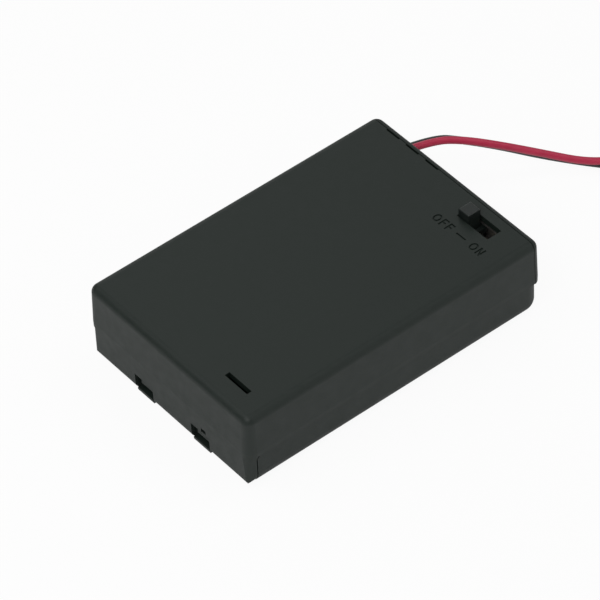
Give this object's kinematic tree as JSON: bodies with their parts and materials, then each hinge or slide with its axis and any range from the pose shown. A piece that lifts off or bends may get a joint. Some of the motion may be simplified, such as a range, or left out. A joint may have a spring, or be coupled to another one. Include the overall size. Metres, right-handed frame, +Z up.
{
  "type": "cylindrical cell holder",
  "caption": "Enclosed plastic holder for cylindrical cells laid side by side, with a lift-off cover, a slide switch under a slot and a red and a black flying lead.",
  "frame": {"origin": "middle of the underside of the box, without the leads", "axes": "+X along the cells towards the switch and the leads, +Y towards the lead hole, +Z up out of the cover"},
  "size_m": [0.1261, 0.047, 0.0193],
  "materials": {
    "box_plastic": "fine matt texture, moulded black ABS",
    "knob_plastic": "moulded black nylon, satin",
    "plated_strip": "nickel-plated spring steel strip, satin",
    "plated_spring_wire": "nickel-plated spring wire, bright",
    "plated_brass": "silver-plated brass, satin",
    "laminate_board": "black paper-phenolic laminate",
    "red_insulation": "soft PVC, satin",
    "black_insulation": "soft PVC, satin",
    "solder": "tin solder, smooth",
    "tinned_copper": "tinned copper strands"
  },
  "bodies": {
    "holder": {"tray": "box_plastic", "near_bridge_contact": "plated_strip", "near_single_contact": "plated_strip", "far_bridge_contact": "plated_strip", "far_single_contact": "plated_strip", "cell_1_spring": "plated_spring_wire", "cell_2_spring": "plated_spring_wire", "cell_3_spring": "plated_spring_wire", "switch_can": "plated_strip", "switch_board": "laminate_board", "switch_off_terminal": "plated_brass", "switch_common_terminal": "plated_brass", "switch_on_terminal": "plated_brass", "return_wire": "black_insulation", "red_inner_wire": "red_insulation", "black_inner_wire": "black_insulation", "solder_joints": "solder", "red_lead": "red_insulation", "black_lead": "black_insulation", "red_lead_coil": "red_insulation", "black_lead_coil": "black_insulation", "red_lead_tip": "tinned_copper", "black_lead_tip": "tinned_copper"},
    "cover": {"cover": "box_plastic"},
    "knob": {"switch_knob": "knob_plastic", "switch_wiper": "plated_brass"}
  },
  "joints": [
    {"name": "cover_lift", "type": "slide", "parent": "holder", "child": "cover", "axis": [0, 0, 1], "range_m": [0, 0.03]},
    {"name": "knob_slide", "type": "slide", "parent": "holder", "child": "knob", "axis": [0, -1, 0], "range_m": [0, 0.0054]}
  ]
}
